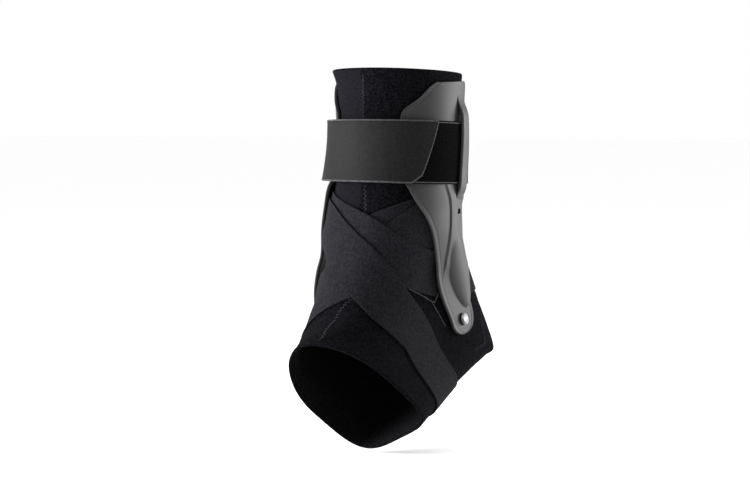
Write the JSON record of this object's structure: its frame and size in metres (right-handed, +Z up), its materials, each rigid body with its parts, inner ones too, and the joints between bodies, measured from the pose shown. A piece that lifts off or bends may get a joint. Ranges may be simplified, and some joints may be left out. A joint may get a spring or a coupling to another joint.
{
  "type": "ankle brace",
  "caption": "Open-toed ankle sleeve with crossed elastic bands, a riveted plastic guard on each side and a fastened leg strap, in its worn shape.",
  "frame": {"origin": "centre of the ankle joint, inside the sleeve, where the leg and foot hold the brace", "axes": "+Z up the leg, toes towards -Y and down, +X to the outer (lateral) side of a left foot"},
  "size_m": [0.1234, 0.1868, 0.2863],
  "materials": {
    "knit": "matt knitted fabric",
    "elastic": "matt woven elastic",
    "guard_plastic": "satin moulded plastic",
    "rivet_steel": "domed, satin",
    "strap_webbing": "matt looped webbing",
    "tab_webbing": "matt coated webbing with a piped edge"
  },
  "bodies": {
    "root": {"sleeve": "knit", "medial_heel_band": "elastic", "medial_instep_band": "elastic", "lateral_heel_band": "elastic", "lateral_instep_band": "elastic", "lateral_guard": "guard_plastic", "medial_guard": "guard_plastic", "lateral_rivet": "rivet_steel", "medial_rivet": "rivet_steel", "leg_strap": "strap_webbing", "strap_tab": "tab_webbing"}
  },
  "joints": []
}
